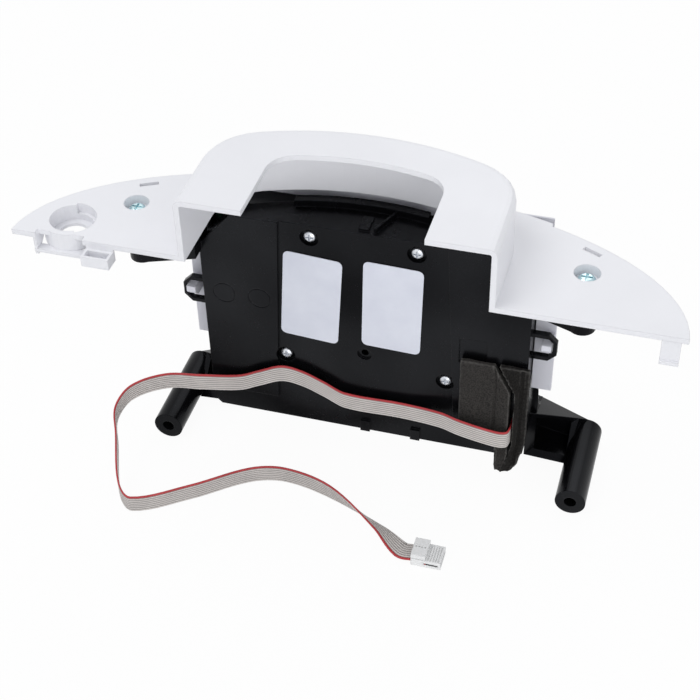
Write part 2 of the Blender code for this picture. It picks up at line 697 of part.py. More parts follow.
def key_opening(x, grow):
    half_width = KEY_WIDTH / 2 + grow
    half_height = KEY_HEIGHT / 2 + grow
    height = (-KEY_DROP - half_height, half_height - KEY_DROP)
    return box((x - half_width, x + half_width), (BOARD_FRONT_Y, 2 * FACE_Y), height)


def arm_top(x, y):
    """Height of an arm's flat top, which falls to the front and to the leg."""
    fall_x = (LEG_DROP - LEG_RADIUS - ARM_FRONT_DROP) / (LEG_X - HOUSING_HALF_WIDTH)
    fall_y = (ARM_FRONT_DROP - ARM_REAR_DROP) / (LEG_FRONT_Y - ARM_REAR_Y)
    return -ARM_REAR_DROP - fall_x * (x - HOUSING_HALF_WIDTH) - fall_y * (y - ARM_REAR_Y)


def arm_bottom(x):
    share = (x - HOUSING_HALF_WIDTH) / (LEG_X - HOUSING_HALF_WIDTH)
    return -LEG_DROP - LEG_RADIUS * 0.7 * share


def arm_block(side, rear, front):
    """A block between two four-cornered ends, from their upper (x, y) places and the heights below them."""
    ends = []
    for upper, under, drop in (rear, front):
        ring = [(side * x, y, arm_top(x, y) - drop) for x, y in upper]
        ring += [(side * x, y, arm_bottom(x) + drop) for x, y in under]
        ends.append(ring)
    bm = loft_mesh(ends)
    bmesh.ops.triangulate(bm, faces=bm.faces)
    return shape_object("tool", bm)


def add_arm(chassis, side):
    """The hollow arm from the case to a leg, open to the rear, with the leg along its outer edge."""
    wall = CHASSIS_WALL
    inner = HOUSING_HALF_WIDTH - wall * 0.8
    outer = LEG_X - LEG_RADIUS * 0.9
    rear_upper = [(inner, ARM_REAR_Y), (LEG_X - LEG_RADIUS * 0.6, LEG_FRONT_Y - LEG_RADIUS * 0.5)]
    rear_under = [(outer, ARM_REAR_Y + LEG_RADIUS * 0.4), (inner, ARM_REAR_Y)]
    front_upper = [(inner, LEG_FRONT_Y), (LEG_X, LEG_FRONT_Y)]
    front_under = [(LEG_X, LEG_FRONT_Y), (inner, LEG_FRONT_Y)]
    join(chassis, arm_block(side, (rear_upper, rear_under, 0), (front_upper, front_under, 0)))
    near = HOUSING_HALF_WIDTH + wall
    far = LEG_X - LEG_RADIUS - GAP
    open_y = ARM_REAR_Y - 2 * wall
    deep_y = LEG_FRONT_Y - 2 * wall
    opening = ([(near, open_y), (far, open_y)], [(far, open_y), (near, open_y)], wall)
    depth = ([(near, deep_y), (far, deep_y)], [(far, deep_y), (near, deep_y)], wall)
    cut(chassis, arm_block(side, opening, depth))
    spot = (side * LEG_X, -LEG_DROP)
    join(chassis, rod(spot, LEG_RADIUS, LEG_REAR_Y, LEG_FRONT_Y, "Y", LEG_SIDES))
    cut(chassis, rod(spot, LEG_BORE_RADIUS, 0, LEG_REAR_Y + LEG_BORE_DEPTH, "Y"))


def make_chassis(material):
    """The front half of the case, open to the rear, with its screw bosses, board posts, arms and legs."""
    low = -CHASSIS_BOTTOM_DROP
    top = -CHASSIS_TOP_DROP
    wall = CHASSIS_WALL
    outline = rectangle(HOUSING_HALF_WIDTH, low, top)
    chassis = prism(outline, CHASSIS_REAR_Y, CHASSIS_FRONT_Y, "Y", "front_chassis")
    hollow = rectangle(HOUSING_HALF_WIDTH - wall, low + wall, top - wall)
    cut(chassis, prism(hollow, CHASSIS_REAR_Y - wall, CHASSIS_FRONT_Y - wall, "Y"))
    for spot in rear_screw_spots():
        join(chassis, rod(spot, BOSS_RADIUS, SCREW_BOSS_END_Y + SLIDE_GAP, CHASSIS_FRONT_Y - wall / 2, "Y"))
        cut(chassis, rod(spot, REAR_SHANK_RADIUS + SCREW_GAP, HOUSING_REAR_Y, CHASSIS_FRONT_Y - 2 * wall, "Y"))
    for spot in post_spots():
        join(chassis, rod(spot, POST_RADIUS, BOARD_FRONT_Y + GAP, CHASSIS_FRONT_Y - wall / 2, "Y", 16))
        pilot = BOARD_SHANK_RADIUS + SCREW_GAP
        cut(chassis, rod(spot, pilot, HOUSING_REAR_Y, CHASSIS_FRONT_Y - wall / 2, "Y", 12))
    cut(chassis, prism(lens_outline(GAP), LENS_REAR_Y - wall, 2 * FACE_Y, "Y"))
    for x in key_places():
        cut(chassis, key_opening(x, KEY_FLANGE + SLIDE_GAP))
    for side in (-1, 1):
        add_arm(chassis, side)
    return finish(chassis, material)


def make_fascia(material):
    """The white front: a face plate, side walls that reach back round the chassis, side flanges and hooks."""
    low = -FASCIA_BOTTOM_DROP
    face = rectangle(FASCIA_OUTER_X, low, -FACE_TOP_DROP)
    fascia = rounded_front(face, FACE_BACK_Y, FACE_Y, FASCIA_ROUNDING)
    fascia.name = "front_fascia"
    window = rectangle(WINDOW_HALF_WIDTH, -WINDOW_BOTTOM_DROP, -WINDOW_TOP_DROP)
    cut(fascia, prism(window, LENS_REAR_Y, 2 * FACE_Y, "Y"))
    for x in key_places():
        cut(fascia, key_opening(x, SLIDE_GAP))
    height = (low, -CHASSIS_TOP_DROP)
    for side in (-1, 1):
        wall_x = sorted((side * FASCIA_INNER_X, side * FASCIA_OUTER_X))
        join(fascia, box(wall_x, (CHASSIS_REAR_Y, FACE_BACK_Y + GAP / 2), height))
        flange_x = sorted((side * FASCIA_INNER_X, side * (FASCIA_OUTER_X + FASCIA_FLANGE)))
        join(fascia, box(flange_x, (CHASSIS_REAR_Y, CHASSIS_REAR_Y + FASCIA_WALL), height))
        add_hook(fascia, side)
    return finish(fascia, material)


def make_display(lens_material, display_material):
    lens = prism(lens_outline(), LENS_REAR_Y, LENS_REAR_Y + LENS_WALL, "Y", "display_window")
    step = rectangle(WINDOW_HALF_WIDTH - GAP, GAP - WINDOW_BOTTOM_DROP, -WINDOW_TOP_DROP - GAP)
    join(lens, prism(step, LENS_REAR_Y + LENS_WALL / 2, FACE_BACK_Y + LENS_STEP, "Y"))
    finish(lens, lens_material)
    rear = BOARD_FRONT_Y + GAP
    front = LENS_REAR_Y - GAP
    display = prism(lens_outline(-DISPLAY_MARGIN), rear, front, "Y", "display_module")
    glass = rectangle(WINDOW_HALF_WIDTH, -WINDOW_BOTTOM_DROP, -WINDOW_TOP_DROP)
    cut(display, prism(glass, front - DISPLAY_MARGIN / 4, front + GAP, "Y"))
    finish(display, display_material)


def make_board(material):
    outline = rectangle(BOARD_HALF_WIDTH, -BOARD_BOTTOM_DROP, -BOARD_TOP_DROP)
    board = prism(outline, BOARD_REAR_Y, BOARD_FRONT_Y, "Y", "main_board")
    for spot in rear_screw_spots():
        cut(board, rod(spot, BOSS_RADIUS + SLIDE_GAP, HOUSING_REAR_Y, FACE_Y, "Y"))
    for spot in post_spots():
        cut(board, rod(spot, BOARD_SHANK_RADIUS + SCREW_GAP, HOUSING_REAR_Y, FACE_Y, "Y", 12))
    return finish(board, material)


def make_header(material):
    middle = RIBBON_TOP - RIBBON_WIDTH / 2
    rear = HEADER_REAR_Y
    half = HEADER_WIDTH / 2
    tall = HEADER_HEIGHT / 2
    width = (HEADER_X - half, HEADER_X + half)
    header = box(width, (rear, rear + HEADER_DEPTH), (middle - tall, middle + tall), "cable_header")
    key_x = (HEADER_X + half / 2, HEADER_X + half + GAP)
    key_z = (middle - tall / 2, middle + tall / 2)
    cut(header, box(key_x, (rear - GAP, rear + HEADER_DEPTH / 2), key_z))
    return finish(header, material)


def make_key(number, x, material):
    """One push key. Its origin is on its own axis of travel, at the front face of the fascia."""
    centre = Vector((x, FACE_Y, -KEY_DROP))
    half_width = KEY_WIDTH / 2
    half_height = KEY_HEIGHT / 2
    flange_front = FACE_BACK_Y - GAP
    flange_rear = flange_front - KEY_FLANGE_WALL
    cap_outline = [(a + x, b - KEY_DROP) for a, b in rectangle(half_width, -half_height, half_height)]
    key = rounded_front(cap_outline, flange_rear, FACE_Y + KEY_PROUD, KEY_PROUD / 2)
    key.name = f"key_{number}"
    flange = (half_width + KEY_FLANGE, half_height + KEY_FLANGE)
    height = (-KEY_DROP - flange[1], flange[1] - KEY_DROP)
    join(key, box((x - flange[0], x + flange[0]), (flange_rear, flange_front), height))
    join(key, rod((x, -KEY_DROP), KEY_STEM_RADIUS, stem_end(), flange_rear + KEY_FLANGE_WALL / 2, "Y", 16))
    key.data.transform(Matrix.Translation(-centre))
    key.location = centre
    return finish(key, material)


def plunger_end():
    return BOARD_FRONT_Y + GAP + SWITCH_HEIGHT + PLUNGER_HEIGHT


def stem_end():
    return plunger_end() + KEY_TRAVEL + GAP


def make_switch(number, x, material):
    half = SWITCH_SIZE / 2
    rear = BOARD_FRONT_Y + GAP
    body = (rear, rear + SWITCH_HEIGHT)
    switch = box((x - half, x + half), body, (-KEY_DROP - half, half - KEY_DROP), f"switch_{number}")
    join(switch, rod((x, -KEY_DROP), PLUNGER_RADIUS, body[0] + SWITCH_HEIGHT / 2, plunger_end(), "Y", 16))
    return finish(switch, material)


def turned_screw(name, head_radius, head_height, shank_radius, length, cross):
    """A pan-head screw along +Z, with the underside of its head at its origin and the shank below."""
    dome = 0.35 * head_height
    profile = [
        (0, head_height),
        (0.6 * head_radius, head_height),
        (0.92 * head_radius, head_height - dome),
        (head_radius, 0.3 * head_height),
        (head_radius, 0),
        (shank_radius, 0),
        (shank_radius, -length + shank_radius),
        (0.4 * shank_radius, -length),
        (0, -length),
    ]
    bm = bmesh.new()
    verts = [bm.verts.new((r, 0, z)) for r, z in profile]
    edges = [bm.edges.new(pair) for pair in zip(verts, verts[1:])]
    bmesh.ops.spin(
        bm,
        geom=verts + edges,
        cent=(0, 0, 0),
        axis=(0, 0, 1),
        angle=2 * math.pi,
        steps=16,
        use_merge=True,
    )
    bmesh.ops.remove_doubles(bm, verts=bm.verts, dist=1e-6)
    screw = shape_object(name, bm)
    if cross:
        arm = 0.62 * head_radius
        width = 0.13 * head_radius
        depth = (0.45 * head_height, 2 * head_height)
        cut(screw, box((-arm, arm), (-width, width), depth), box((-width, width), (-arm, arm), depth))
    return screw


def place_screw(screw, spot, axis, material):
    """Turns the head's direction from +Z to the given axis and puts the head's underside at the spot."""
    screw.rotation_mode = "QUATERNION"
    screw.rotation_quaternion = Vector((0, 0, 1)).rotation_difference(Vector(axis))
    screw.location = spot
    finish(screw, material)


def make_screws(material):
    rear_length = CHASSIS_FRONT_Y - 2 * CHASSIS_WALL - SEAT_Y - 2 * GAP
    for number, (x, z) in enumerate(rear_screw_spots(), 1):
        screw = turned_screw(
            f"rear_screw_{number}", REAR_HEAD_RADIUS, REAR_HEAD_HEIGHT, REAR_SHANK_RADIUS, rear_length * 0.8, True
        )
        place_screw(screw, (x, SEAT_Y - GAP, z), (0, -1, 0), material)
    board_length = CHASSIS_FRONT_Y - CHASSIS_WALL - BOARD_REAR_Y
    for number, (x, z) in enumerate(post_spots(), 1):
        screw = turned_screw(
            f"board_screw_{number}", BOARD_HEAD_RADIUS, BOARD_HEAD_HEIGHT, BOARD_SHANK_RADIUS, board_length, False
        )
        place_screw(screw, (x, BOARD_REAR_Y - GAP, z), (0, -1, 0), material)
    for side, word in ((-1, "left"), (1, "right")):
        wing_length = (EAR_DROP - POCKET_DEPTH) / 3
        screw = turned_screw(
            f"wing_screw_{word}", WING_HEAD_RADIUS, WING_HEAD_HEIGHT, REAR_SHANK_RADIUS, wing_length, True
        )
        place_screw(screw, (side * WING_SCREW_X, WING_SCREW_Y, GAP - POCKET_DEPTH), (0, 0, 1), material)


def make_label(name, place, material):
    x, drop, lean = place
    half_width = LABEL_WIDTH / 2 - LABEL_CORNER_RADIUS
    half_height = LABEL_HEIGHT / 2 - LABEL_CORNER_RADIUS
    outline = []
    for start, a, b in ((0, 1, 1), (90, -1, 1), (180, -1, -1), (270, 1, -1)):
        outline += arc((a * half_width, b * half_height), LABEL_CORNER_RADIUS, start, start + 90, 4)
    label = prism(outline, -LABEL_WALL, 0, "Y", name)
    label.rotation_euler = (0, lean, 0)
    label.location = (x, HOUSING_REAR_Y - GAP, -drop)
    return finish(label, material)


def foam_sheet(name, seam, far, low, material):
    """A foam sheet on the housing's panel, folded out along a slanted seam, with a tail that hangs clear below."""
    seat = PANEL_Y - GAP
    width = abs(far - seam)
    side = (far - seam) / width
    neck = min(width, FOAM_NECK_WIDTH)
    tail = min(width, FOAM_TAIL_WIDTH)
    tail_top = max(FOAM_LEFT_BOTTOM_DROP + FOAM_NECK_HEIGHT, -low)
    levels = [
        (-FOAM_TOP_DROP, -FOAM_SEAM_SLANT, width + side * FOAM_SEAM_SLANT, FOAM_TOP_CREASE, 0.05, 0),
        (-FOAM_TOP_DROP - FOAM_SLOPE, 0, width, FOAM_CREASE, 1, 0),
        (low, 0, width, FOAM_CREASE, 1, 0),
        (low - FOAM_NECK_HEIGHT, 0, neck, FOAM_CREASE, 1, 0),
        (-FOAM_TAIL_DROP, 0, tail, FOAM_CREASE, 0.5, FOAM_SHEET / 2),
    ]
    rings = []
    for height, slant, reach, fold, rise, lift in levels:
        hang = max(0, (-height - tail_top) / (FOAM_TAIL_DROP - tail_top))
        start = seam + slant - hang * FOAM_TAIL_SHIFT
        end = start + side * reach
        crease = start + side * min(fold, reach / 2)
        front = seat - hang * FOAM_TAIL_LEAN
        face = front - FOAM_SHEET
        ridge = face - rise * (FOAM_DEPTH - FOAM_SHEET)
        section = [(start, front - lift), (end, front - lift), (end, face), (crease, face), (start, ridge)]
        rings.append([(x, y, height) for x, y in section])
    return finish(shape_object(name, loft_mesh(rings)), material)


def make_foam(material):
    half = RIBBON_WALL / 2 + SLIDE_GAP
    foam_sheet("foam_left", HEADER_X - half, FOAM_LEFT_X, -FOAM_LEFT_BOTTOM_DROP, material)
    foam_sheet("foam_right", HEADER_X + half, FOAM_RIGHT_X, -FOAM_RIGHT_BOTTOM_DROP, material)


def ribbon_route():
    """Places along the ribbon's middle: x, y, share of the drop from the header to the floor, quarter turns."""
    bend_y = FOAM_REAR_Y - RIBBON_WALL / 2 - SLIDE_GAP
    wall_y = PANEL_Y - RIBBON_WALL / 2
    return [
        (HEADER_X, HEADER_REAR_Y - GAP, 0.00, 0),
        (HEADER_X, PANEL_Y, 0.00, 0),
        (HEADER_X, FOAM_REAR_Y + RIBBON_WALL, 0.00, 0),
        (HEADER_X - 0.0012, bend_y - 0.0012, 0.01, 0),
        (HEADER_X - 0.0065, bend_y - 0.0020, 0.01, 0),
        (0.0500, bend_y - 0.0006, -0.03, 0),
        (0.0390, wall_y - 0.0042, -0.02, 0),
        (0.0186, wall_y - 0.0018, 0.00, 0),
        (-0.0093, wall_y - 0.0018, 0.00, 0),
        (-0.0200, wall_y - 0.0018, -0.12, 0),
        (-0.0310, wall_y - 0.0018, -0.23, 0),
        (-0.0415, wall_y - 0.0020, -0.26, 0),
        (-0.0530, wall_y - 0.0028, -0.14, 0),
        (-0.0640, wall_y - 0.0026, 0.00, 0),
        (-0.0840, wall_y - 0.0038, 0.08, 0),
        (-0.1049, wall_y - 0.0020, 0.22, 0),
        (-0.1225, wall_y - 0.0080, 0.39, 0),
        (-0.1270, 0.0250, 0.53, 0),
        (-0.1222, 0.0124, 0.66, 0),
        (-0.1135, -0.0089, 0.94, 0),
        (-0.1046, -0.0156, 1.00, 0),
        (-0.0787, -0.0002, 1.00, 0),
        (-0.0534, 0.0188, 1.00, 0),
        (-0.0363, 0.0233, 1.00, 0),
        (-0.0110, 0.0178, 1.00, 0.05),
        (PLUG_X - 0.0191, PLUG_Y + 0.0093, 1.00, 0.6),
        (PLUG_X - 0.0060, PLUG_Y + 0.0002, 1.00, 1),
        (PLUG_X - GAP, PLUG_Y, 1.00, 1),
    ]


def smooth_places(places, steps):
    """A smooth curve through the given places, with the same number of steps between each two."""
    spots = [Vector(place) for place in places]
    marks = [0.0]
    for a, b in zip(spots, spots[1:]):
        marks.append(marks[-1] + (b.to_2d() - a.to_2d()).length)
    last = len(spots) - 1
    slopes = []
    for i in range(len(spots)):
        a = max(i - 1, 0)
        b = min(i + 1, last)
        slopes.append((spots[b] - spots[a]) / (marks[b] - marks[a]))
    curve = []
    for i in range(last):
        span = marks[i + 1] - marks[i]
        for step in range(steps):
            t = step / steps
            curve.append(
                spots[i] * (1 + 2 * t) * (1 - t) ** 2
                + slopes[i] * span * t * (1 - t) ** 2
                + spots[i + 1] * t * t * (3 - 2 * t)
                + slopes[i + 1] * span * t * t * (t - 1)
            )
    return curve + [spots[last]]


def make_ribbon(material):
    """The flat ribbon: on edge from the header to the floor, then turned over flat where it meets its plug."""
    curve = smooth_places(ribbon_route(), RIBBON_STEPS)
    start_z = RIBBON_TOP - RIBBON_WIDTH / 2
    floor_z = FLOOR + GAP + RIBBON_WIDTH / 2
    up = Vector((0, 0, 1))
    rings = []
    for i, place in enumerate(curve):
        ahead = curve[min(i + 1, len(curve) - 1)].to_2d() - curve[max(i - 1, 0)].to_2d()
        along = ahead.normalized().to_3d()
        turn = place.w * math.pi / 2
        height = start_z + place.z * (floor_z - start_z) - (1 - math.cos(turn)) * (floor_z - PLUG_MIDDLE)
        middle = Vector((place.x, place.y, height))
        across = math.cos(turn) * up + math.sin(turn) * along.cross(up)
        through = across.cross(along) * RIBBON_WALL / 2
        across = across * RIBBON_WIDTH / 2
        corners = (across + through, across - through, -across - through, -across + through)
        rings.append([middle + corner for corner in corners])
    return finish(shape_object("ribbon_cable", loft_mesh(rings)), material)


def make_plug(material):
    """The ribbon's plug and the clip pressed on it."""
    y = (PLUG_Y - PLUG_WIDTH / 2, PLUG_Y + PLUG_WIDTH / 2)
    top = PLUG_LOW + PLUG_HEIGHT
    plug = box((PLUG_X, PLUG_X + PLUG_LENGTH), y, (PLUG_LOW, top), "ribbon_plug")
    groove = PLUG_HEIGHT / 6
    socket_x = (PLUG_X + PLUG_LENGTH * 0.7, PLUG_X + PLUG_LENGTH + GAP)
    cut(plug, box(socket_x, (y[0] + groove, y[1] - groove), (PLUG_MIDDLE - groove, PLUG_MIDDLE + groove)))
    slot_x = (PLUG_X + PLUG_LENGTH * 0.42, PLUG_X + PLUG_LENGTH * 0.92)
    cut(plug, box(slot_x, (y[0] - groove, y[0] + groove / 2), (PLUG_MIDDLE - groove, PLUG_MIDDLE + groove / 2)))
    pitch = (PLUG_LENGTH - PLUG_CLIP_LENGTH) / (PLUG_GROOVES + 1)
    for i in range(PLUG_GROOVES):
        x = PLUG_X + PLUG_CLIP_LENGTH + (i + 1) * pitch
        groove_x = (x - pitch / 6, x + pitch / 6)
        cut(plug, box(groove_x, (y[0] + groove, y[1] - groove), (top - groove / 2, top + groove)))
    finish(plug, material)
    clip_z = (top + GAP, top + GAP + PLUG_CLIP_HEIGHT)
    clip = box((PLUG_X, PLUG_X + PLUG_CLIP_LENGTH), y, clip_z, "plug_clip")
    pitch = PLUG_CLIP_LENGTH / (PLUG_PITS + 1)
    for i in range(PLUG_PITS):
        x = PLUG_X + (i + 1) * pitch
        pit_x = (x - pitch / 4, x + pitch / 4)
        cut(clip, box(pit_x, (PLUG_Y, PLUG_Y + pitch / 2), (clip_z[1] - groove, clip_z[1] + groove)))
    finish(clip, material)


def build():
    clear_scene()
    make_frame()
    white = make_material("white_cover", (0.83, 0.83, 0.86), 0.38)
    make_top_cover(white)
    case = make_material("black_case", (0.012, 0.012, 0.014), 0.42)
    make_rear_housing(case)
    make_chassis(case)
    make_fascia(make_material("white_fascia", (0.80, 0.80, 0.85), 0.40))
    lens = make_material("window_clear", (0.70, 0.74, 0.76), 0.08)
    make_display(lens, make_material("display_green", (0.18, 0.22, 0.16), 0.25))
    make_board(make_material("board_green", (0.03, 0.16, 0.07), 0.45))
    black = make_material("connector_black", (0.016, 0.016, 0.018), 0.45)
    make_header(black)
    grey = make_material("key_grey", (0.42, 0.43, 0.46), 0.50)
    for number, x in enumerate(key_places(), 1):
        make_key(number, x, grey)
        make_switch(number, x, black)
    make_screws(make_material("zinc_steel", (0.62, 0.63, 0.66), 0.30, 1.0))
    paper = make_material("label_paper", (0.62, 0.64, 0.71), 0.55)
    make_label("label_left", LABEL_LEFT, paper)
    make_label("label_right", LABEL_RIGHT, paper)
    make_foam(make_material("foam_dark", (0.045, 0.042, 0.040), 0.95))
    make_ribbon(make_material("ribbon_grey", (0.55, 0.53, 0.50), 0.50))
    make_plug(make_material("plug_white", (0.80, 0.80, 0.80), 0.35))


build()
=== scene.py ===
"""Control panel head from the rear: white winged cover, black case on two legs, foam and a ribbon cable."""

import math

import bmesh
import bpy
from mathutils import Matrix, Vector, noise


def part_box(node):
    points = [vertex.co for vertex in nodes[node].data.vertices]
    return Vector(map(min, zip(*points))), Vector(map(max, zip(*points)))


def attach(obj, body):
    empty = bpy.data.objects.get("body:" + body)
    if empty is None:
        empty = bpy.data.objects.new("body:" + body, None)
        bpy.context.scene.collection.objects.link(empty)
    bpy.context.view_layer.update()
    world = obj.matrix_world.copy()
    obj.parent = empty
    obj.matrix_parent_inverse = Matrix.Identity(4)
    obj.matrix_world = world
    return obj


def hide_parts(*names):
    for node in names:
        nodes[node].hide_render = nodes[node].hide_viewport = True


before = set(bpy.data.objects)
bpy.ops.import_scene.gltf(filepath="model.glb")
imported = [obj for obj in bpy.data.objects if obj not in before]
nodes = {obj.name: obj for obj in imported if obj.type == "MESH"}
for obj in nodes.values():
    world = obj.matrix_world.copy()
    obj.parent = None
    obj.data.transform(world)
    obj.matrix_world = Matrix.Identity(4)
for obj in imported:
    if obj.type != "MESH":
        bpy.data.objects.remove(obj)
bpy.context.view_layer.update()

# Camera, fitted to the photograph: its place, the directions along its picture's sides, and its lens
CAMERA_PLACE = (0.15069, -0.51393, 0.54943)
CAMERA_RIGHT = (0.96109, 0.27551, -0.01984)
CAMERA_UP = (-0.16707, 0.63701, 0.75253)
CAMERA_LENS = 76.6
CAMERA_SENSOR = 36

# Ribbon cable: x, y and z of its middle, then quarter turns of its red edge from upright to flat
RIBBON_WIDTH = 0.01016
RIBBON_WALL = 0.0009
CONDUCTORS = 8
ROUTE_STEPS = 7
RIBBON_ROUTE = [
    (0.0737, 0.00680, 0.04666, 0),
    (0.0737, 0.00140, 0.04666, 0),
    (0.0737, -0.00450, 0.04666, 0),
    (0.0725, -0.00745, 0.04625, 0),
    (0.0672, -0.00825, 0.04625, 0),
    (0.0500, -0.00685, 0.04790, 0),
    (0.0390, -0.00325, 0.04749, 0),
    (0.0186, -0.00085, 0.04666, 0),
    (-0.0093, -0.00085, 0.04666, 0),
    (-0.0200, -0.00085, 0.05162, 0),
    (-0.0310, -0.00085, 0.05616, 0),
    (-0.0415, -0.00105, 0.05740, 0),
    (-0.0530, -0.00185, 0.05244, 0),
    (-0.0640, -0.00165, 0.04666, 0),
    (-0.0840, -0.00285, 0.04336, 0),
    (-0.1049, -0.00105, 0.03758, 0),
    (-0.1225, -0.00705, 0.03056, 0),
    (-0.1270, -0.01780, 0.02478, 0),
    (-0.1222, -0.03040, 0.01942, 0),
    (-0.1135, -0.05170, 0.00786, 0),
    (-0.1046, -0.05840, 0.00538, 0),
    (-0.0787, -0.04300, 0.00538, 0),
    (-0.0534, -0.02400, 0.00538, 0),
    (-0.0363, -0.01950, 0.00538, 0),
    (-0.0110, -0.02500, 0.00537, 0.05),
    (0.0192, -0.04120, 0.00411, 0.6),
    (0.0323, -0.05030, 0.00230, 1),
    (0.0380, -0.05050, 0.00230, 1),
]

# One wire of the ribbon from its groove: shares of the pitch across and of half the thickness through
WIRE_GROOVE = 0.36
WIRE_SHAPE = ((0.0, WIRE_GROOVE), (0.18, 0.82), (0.5, 1.0), (0.82, 0.82))

# Ribbon colours, darkest and palest; the groove colour is painted shade between the wires
GREY_VINYL = ((0.60, 0.56, 0.535), (0.68, 0.635, 0.605))
RED_VINYL = ((0.40, 0.022, 0.028), (0.50, 0.034, 0.040))
GROOVE_PAINTED_SHADE = ((0.27, 0.25, 0.238), (0.32, 0.297, 0.283))
CUT_RED_VINYL = ((0.36, 0.012, 0.018), (0.46, 0.02, 0.03))

# Cut end of the ribbon in the plug's slot: a red wire, then a dark strip
CUT_START_SHARE = 0.45
CUT_RISE = 0.0020
CUT_DEPTH = 0.00022
CUT_HEIGHT = 0.0007
CUT_WIRE_LENGTH = 0.0008
CUT_STRIP_START = 0.0009
CUT_STRIP_LENGTH = 0.0056
CUT_ROUNDING = 0.00006

# Foam sheets: a remeshed surface with lumps of two sizes (scale and height) and a pressed crease
FOAM_VOXEL = 0.0006
FOAM_SMOOTHINGS = 3
FOAM_LUMPS = ((160, 0.00035), (900, 0.00015))
FOAM_SHRINK = 0.0002
FOAM_LEFT_CREASE_X = 0.0651
FOAM_RIGHT_CREASE_X = 0.0779
FOAM_CREASE_DEPTH = 0.0010
FOAM_CREASE_WIDTH = 0.0006

# Foam tails: below the ribbon each sheet leans this far towards the other, over this height
FOAM_TAIL_TOP = 0.0400
FOAM_TAIL_CLOSE = 0.0060
FOAM_TAIL_LEAN = 0.00135

# Arm ribs: each stands on an arm's inner wall and braces it against the front of the case
ARM_RIB_X = (0.0776, 0.0819)
ARM_RIB_Y = (0.0282, 0.0475)
ARM_RIB_Z = (0.0276, 0.0520)
ARM_RIB_FOOT = 0.0030
ARM_RIB_STEPS = 12
ARM_RIB_ROUNDING = 0.0004

# Studio: the lamps' names, places, sizes and powers, and a floor that is almost plain white to the eye
LAMP_TARGET = (0, 0, 0.1)
LAMPS = (
    ("key_lamp", (-0.50, -0.30, 1.25), 0.9, 5.0),
    ("fill_lamp", (0.65, -1.02, 0.42), 0.8, 3.5),
    ("back_lamp", (0.1, 1.0, 0.9), 0.9, 2),
)
SKY_COLOUR = (0.95, 0.97, 1.0, 1)
SKY_STRENGTH = 0.57
FLOOR_REACH = 20
FLOOR_DROP = 0.0002
FLOOR_WHITE_SHARE = 0.95

# Sockets of a Mix node's colour kind, which share their names with its other kinds
MIX_FIRST, MIX_SECOND, MIX_RESULT = 6, 7, 2

KEY_NUMBERS = range(1, 5)


def new_object(name, bm):
    mesh = bpy.data.meshes.new(name)
    bm.to_mesh(mesh)
    bm.free()
    thing = bpy.data.objects.new(name, mesh)
    bpy.context.scene.collection.objects.link(thing)
    return thing


def make_camera():
    right = Vector(CAMERA_RIGHT)
    back = right.cross(Vector(CAMERA_UP)).normalized()
    up = back.cross(right)
    data = bpy.data.cameras.new("photo_camera")
    data.sensor_width = CAMERA_SENSOR
    data.lens = CAMERA_LENS
    camera = bpy.data.objects.new("photo_camera", data)
    turn = Matrix((right.normalized(), up.normalized(), back)).transposed().to_4x4()
    camera.matrix_world = Matrix.Translation(CAMERA_PLACE) @ turn
    bpy.context.scene.collection.objects.link(camera)
    bpy.context.scene.camera = camera


class Nodes:
    """A short way to write a procedural material."""

    def __init__(self, name):
        self.material = bpy.data.materials.new(name)
        self.material.use_nodes = True
        self.tree = self.material.node_tree
        self.shader = self.tree.nodes["Principled BSDF"]

    def add(self, kind, **values):
        node = self.tree.nodes.new(kind)
        for key, value in values.items():
            if hasattr(node, key):
                setattr(node, key, value)
            else:
                node.inputs[key.replace("_", " ")].default_value = value
        return node

    def link(self, source, target):
        self.tree.links.new(source, target)

    def feed(self, source, socket):
        """Links a source to the named socket of the shader."""
        self.link(source, self.shader.inputs[socket])

    def fix(self, socket, value):
        """Sets the named socket of the shader to a constant."""
        self.shader.inputs[socket].default_value = value

    def place(self):
        return self.add("ShaderNodeTexCoord").outputs["Object"]

    def noise(self, scale, detail, roughness=0.55):
        node = self.add("ShaderNodeTexNoise", Scale=scale, Detail=detail, Roughness=roughness)
        self.link(self.place(), node.inputs["Vector"])
        return node.outputs["Fac"]

    def ramp(self, source, low, high, start, end):
        """Two colours, blended as the source goes from start to end."""
        node = self.add("ShaderNodeValToRGB")
        for element, colour, position in zip(node.color_ramp.elements, (low, high), (start, end)):
            element.position = position
            element.color = (*colour, 1)
        self.link(source, node.inputs["Fac"])
        return node.outputs["Color"]

    def span(self, source, low, high):
        """A noise's usual reach, stretched from low to high."""
        node = self.add("ShaderNodeMapRange", From_Min=0.3, From_Max=0.7, To_Min=low, To_Max=high)
        self.link(source, node.inputs["Value"])
        return node.outputs["Result"]

    def bump(self, source, distance, edge=0.0):
        """A fine relief, over edges that are softened to the given radius."""
        node = self.add("ShaderNodeBump", Strength=1.0, Distance=distance)
        if edge:
            soft = self.add("ShaderNodeBevel", samples=6, Radius=edge)
            self.link(soft.outputs["Normal"], node.inputs["Normal"])
        self.link(source, node.inputs["Height"])
        self.feed(node.outputs["Normal"], "Normal")


def moulded_plastic(name, colour, roughness):
    """Moulded plastic: a fine spark-eroded grain, a slow drift in tone and a patchy gloss."""
    m = Nodes(name)
    darker = tuple(0.96 * c for c in colour)
    m.feed(m.ramp(m.noise(14, 4), darker, colour, 0.35, 0.65), "Base Color")
    m.feed(m.span(m.noise(45, 5), roughness - 0.05, roughness + 0.07), "Roughness")
    m.bump(m.noise(2600, 2), 0.00002, 0.0005)
    return m.material


